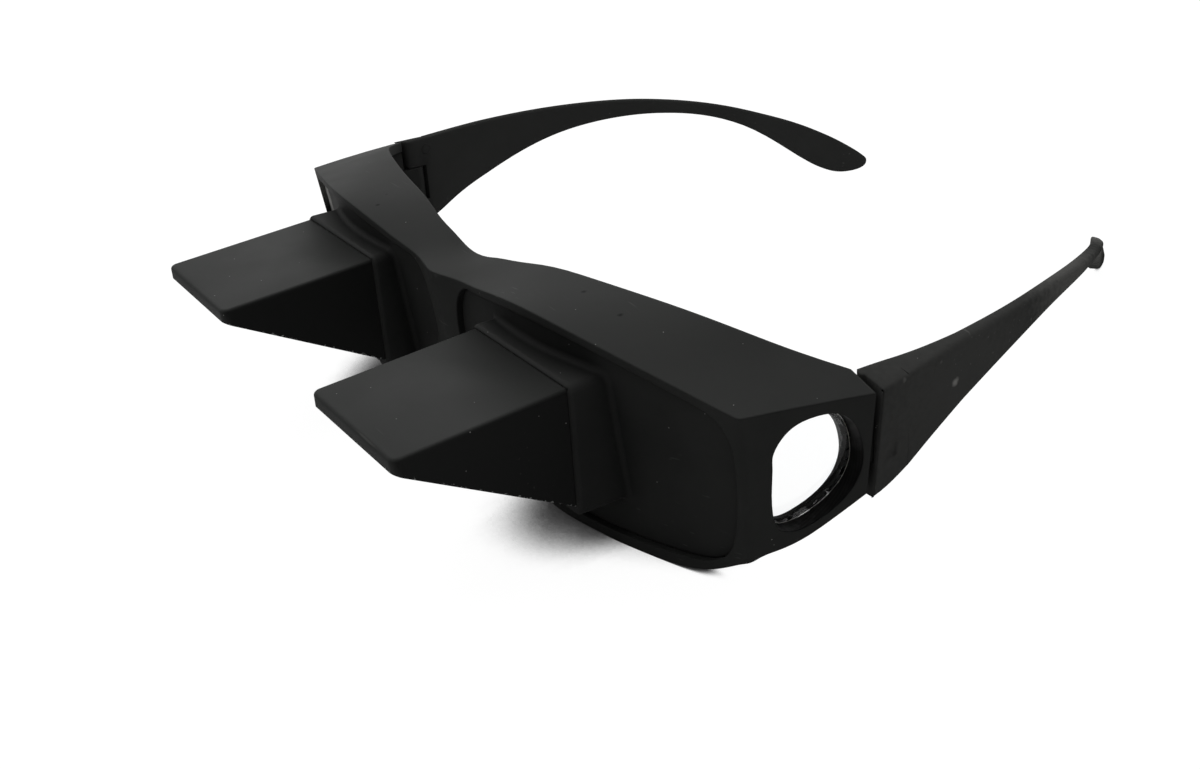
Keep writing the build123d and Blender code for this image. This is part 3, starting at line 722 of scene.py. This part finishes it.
# %% Glue bead tree
def make_glue_tree(material):
    """The Geometry Nodes tree that lays blobs of uneven size along a path of edges."""
    tree = bpy.data.node_groups.new("glue bead", "GeometryNodeTree")
    tree.interface.new_socket("Path", in_out="INPUT", socket_type="NodeSocketGeometry")
    for key, value in (("Spacing", 0.00014), ("Blob Radius", 0.00007), ("Unevenness", 0.15), ("Lumps", 1.5)):
        tree.interface.new_socket(key, in_out="INPUT", socket_type=FLOAT).default_value = value
    tree.interface.new_socket("Bead", in_out="OUTPUT", socket_type="NodeSocketGeometry")
    inside = tree.nodes.new("NodeGroupInput").outputs
    outside = tree.nodes.new("NodeGroupOutput").inputs
    curve = put(tree, "GeometryNodeMeshToCurve", {"Mesh": inside["Path"]})
    points = put(tree, "GeometryNodeCurveToPoints", {"Curve": curve.outputs["Curve"],
                                                     "Length": inside["Spacing"]}, mode="LENGTH")
    blob = put(tree, "GeometryNodeMeshIcoSphere", {"Radius": inside["Blob Radius"], "Subdivisions": 1})
    least = maths(tree, "SUBTRACT", 1.0, inside["Unevenness"])
    most = maths(tree, "ADD", 1.0, inside["Unevenness"])
    size = put(tree, "FunctionNodeRandomValue", {2: least, 3: most, "Seed": 7}, data_type="FLOAT")
    slow = put(tree, "ShaderNodeTexNoise", {"Scale": 220.0, "Detail": 0.0})
    lump = put(tree, "ShaderNodeMapRange", {"Value": slow.outputs["Fac"], "From Min": 0.70, "From Max": 0.78,
                                            "To Min": 1.0, "To Max": inside["Lumps"]})
    scale = maths(tree, "MULTIPLY", size.outputs[1], lump.outputs[0])
    blobs = put(tree, "GeometryNodeInstanceOnPoints", {"Points": points.outputs["Points"],
                                                       "Instance": blob.outputs["Mesh"], "Scale": scale})
    real = put(tree, "GeometryNodeRealizeInstances", {"Geometry": blobs.outputs["Instances"]})
    dressed = put(tree, "GeometryNodeSetMaterial", {"Geometry": real.outputs["Geometry"],
                                                    "Material": material})
    tree.links.new(dressed.outputs["Geometry"], outside["Bead"])
    return tree


def make_glue():
    """Cured glue: half clear and slightly yellow."""
    material, tree, out = open_material("clear glue")
    place = put(tree, "ShaderNodeTexCoord").outputs["Object"]
    cloud = put(tree, "ShaderNodeTexNoise", {"Vector": place, "Scale": 700.0})
    rough = put(tree, "ShaderNodeMapRange", {"Value": cloud.outputs["Fac"], "To Min": 0.15, "To Max": 0.35})
    shader = put(tree, "ShaderNodeBsdfPrincipled", {"Base Color": (0.62, 0.61, 0.56, 1.0),
                                                    "Roughness": rough.outputs[0], "IOR": 1.46,
                                                    "Transmission Weight": 0.4})
    tree.links.new(shader.outputs[0], out.inputs["Surface"])
    return material


glue = make_glue()
glue_tree = make_glue_tree(glue)
print("made", glue_tree.name)

# %% [markdown]
# The path is the rim of the pane's outer face: the edges that only one of its outward faces touches.

# %% Glue beads
BEAD_INSET = 0.012      # how far the bead runs inside the rim, as a share of the way to the middle


def pane_outline(side, way):
    """The outer rim of one pane as a mesh of edges, a little inside the pane's edge."""
    work = merged(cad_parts["side_pane_" + side].data)
    flat = {face for face in work.faces if face.normal.x * way > 0.9}
    rim = [edge for edge in work.edges if sum(face in flat for face in edge.link_faces) == 1]
    corners = sorted({vertex for edge in rim for vertex in edge.verts}, key=lambda vertex: vertex.index)
    middle = sum((vertex.co for vertex in corners), Vector()) / len(corners)
    number = {vertex: k for k, vertex in enumerate(corners)}
    points = [vertex.co.lerp(middle, BEAD_INSET) for vertex in corners]
    path = bpy.data.meshes.new("pane_outline_" + side)
    path.from_pydata(points, [[number[vertex] for vertex in edge.verts] for edge in rim], [])
    work.free()
    return path


def glue_bead(side, way):
    """Runs the glue tree over one pane's outline and keeps the result as a plain mesh."""
    carrier = bpy.data.objects.new("glue_path_" + side, pane_outline(side, way))
    bpy.context.scene.collection.objects.link(carrier)
    step = carrier.modifiers.new("bead", "NODES")
    step.node_group = glue_tree
    ready = carrier.evaluated_get(bpy.context.evaluated_depsgraph_get())
    mesh = bpy.data.meshes.new_from_object(ready)
    bpy.data.objects.remove(carrier)
    mesh.name = "glue_bead_" + side
    mesh.shade_smooth()
    bead = bpy.data.objects.new("glue_bead_" + side, mesh)
    bpy.context.scene.collection.objects.link(bead)
    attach(bead, "front")
    print(bead.name, len(mesh.polygons), "faces")


glue_bead("left", 1)
glue_bead("right", -1)

# %% [markdown]
# ## The studio
# The photograph is lit softly from above on a seamless white ground, so upper faces are clearly paler than
# upright ones, and the shadow stays close under the rims. The floor and the world are white for what the
# camera sees, straight on and through clear plastic. An Ambient Occlusion node dims the floor's own light
# close to the glasses, and that is their shadow. In gloss the world is white above and behind and fades
# towards the camera's side, as in a studio whose white wall stands behind the product.

# %% Floor and world
FLOOR_REACH = 6.0
FLOOR_WHITE = (0.80, 0.80, 0.80, 1.0)   # what the floor sends back to the glasses
FLOOR_SEEN = (0.14, 0.14, 0.14, 1.0)    # its lit share in the picture, on top of its own light
SHADOW_REACH = 0.045    # distance over which the glasses take light from the floor


def make_floor():
    """A white floor that keeps the shadow of the glasses."""
    material, tree, out = open_material("studio floor")
    path = put(tree, "ShaderNodeLightPath").outputs
    straight = maths(tree, "MAXIMUM", path["Is Camera Ray"], path["Is Transmission Ray"])
    colour = colour_mix(tree, straight, FLOOR_WHITE, FLOOR_SEEN)
    diffuse = put(tree, "ShaderNodeBsdfDiffuse", {"Color": colour})
    near = put(tree, "ShaderNodeAmbientOcclusion", {"Distance": SHADOW_REACH}, samples=32)
    lit = put(tree, "ShaderNodeMapRange", {"Value": near.outputs["AO"], "From Min": 0.27, "From Max": 0.40,
                                           "To Min": 0.02, "To Max": 0.97})
    light = put(tree, "ShaderNodeEmission", {"Color": (1.0, 1.0, 1.0, 1.0),
                                             "Strength": maths(tree, "MULTIPLY", straight, lit.outputs[0])})
    total = put(tree, "ShaderNodeAddShader", {0: diffuse.outputs[0], 1: light.outputs[0]})
    tree.links.new(total.outputs[0], out.inputs["Surface"])
    mesh = bpy.data.meshes.new("studio_floor")
    corners = [(-FLOOR_REACH, -FLOOR_REACH, 0), (FLOOR_REACH, -FLOOR_REACH, 0),
               (FLOOR_REACH, FLOOR_REACH, 0), (-FLOOR_REACH, FLOOR_REACH, 0)]
    mesh.from_pydata(corners, [], [(0, 1, 2, 3)])
    mesh.materials.append(material)
    floor = bpy.data.objects.new("studio_floor", mesh)
    bpy.context.scene.collection.objects.link(floor)


def make_world():
    """A white world, which dims towards the camera's side in gloss and bounced light."""
    world = bpy.data.worlds.new("studio world")
    bpy.context.scene.world = world
    world.use_nodes = True
    tree = world.node_tree
    tree.nodes.clear()
    out = tree.nodes.new("ShaderNodeOutputWorld")
    path = put(tree, "ShaderNodeLightPath").outputs
    straight = maths(tree, "MAXIMUM", path["Is Camera Ray"], path["Is Transmission Ray"])
    way = put(tree, "ShaderNodeTexCoord").outputs["Generated"]
    toward = put(tree, "ShaderNodeVectorMath", {0: way, 1: (-0.45, 0.60, 0.66)}, operation="DOT_PRODUCT")
    rear = put(tree, "ShaderNodeMapRange", {"Value": toward.outputs["Value"], "From Min": -0.3,
                                            "From Max": 0.8, "To Min": 0.38, "To Max": 1.0}).outputs[0]
    bounce = maths(tree, "MULTIPLY", rear, 0.27)
    gloss = put(tree, "ShaderNodeMix", {0: path["Is Glossy Ray"], 2: bounce, 3: rear}).outputs[0]
    strength = put(tree, "ShaderNodeMix", {0: straight, 2: gloss, 3: 1.0}).outputs[0]
    sky = put(tree, "ShaderNodeBackground", {"Color": (1.0, 1.0, 1.0, 1.0), "Strength": strength})
    tree.links.new(sky.outputs[0], out.inputs["Surface"])


make_floor()
make_world()
print("floor and world ready")

# %% Lamps
def softbox(name, place, target, width, height, power):
    """A rectangular lamp at place, turned towards target."""
    lamp = bpy.data.lights.new(name, "AREA")
    lamp.shape = "RECTANGLE"
    lamp.size = width
    lamp.size_y = height
    lamp.energy = power
    item = bpy.data.objects.new(name, lamp)
    item.location = place
    item.rotation_euler = (Vector(target) - Vector(place)).to_track_quat("-Z", "Y").to_euler()
    bpy.context.scene.collection.objects.link(item)
    print(name, "at", place, "with", power, "W")


softbox("overhead lamp", (-0.35, 0.05, 0.95), (0.0, 0.0, 0.02), width=1.8, height=1.8, power=7.0)
softbox("rear lamp", (-0.45, 0.75, 0.45), (0.0, 0.0, 0.03), width=0.9, height=0.6, power=0.5)

# %% [markdown]
# ## The camera
# The photograph was solved as a camera 44.4 mm long on a 36 mm sensor, 58.6 degrees round from straight
# ahead and about 27 degrees up, with a slight roll. It is set as plain numbers in the frame of the
# standing glasses.

# %% Camera
lens = bpy.data.cameras.new("photo camera")
lens.sensor_width = 36.0
lens.lens = 44.4
lens.clip_start = 0.01
lens.clip_end = 20.0
camera = bpy.data.objects.new("photo camera", lens)
camera.location = (0.2217409, -0.1428736, 0.1430766)
camera.rotation_euler = Euler((1.0505035, 0.1373651, 0.9860039), "XYZ")
bpy.context.scene.collection.objects.link(camera)
bpy.context.scene.camera = camera
bpy.context.scene.view_settings.view_transform = "Standard"
print("camera at", [round(value, 3) for value in camera.location])
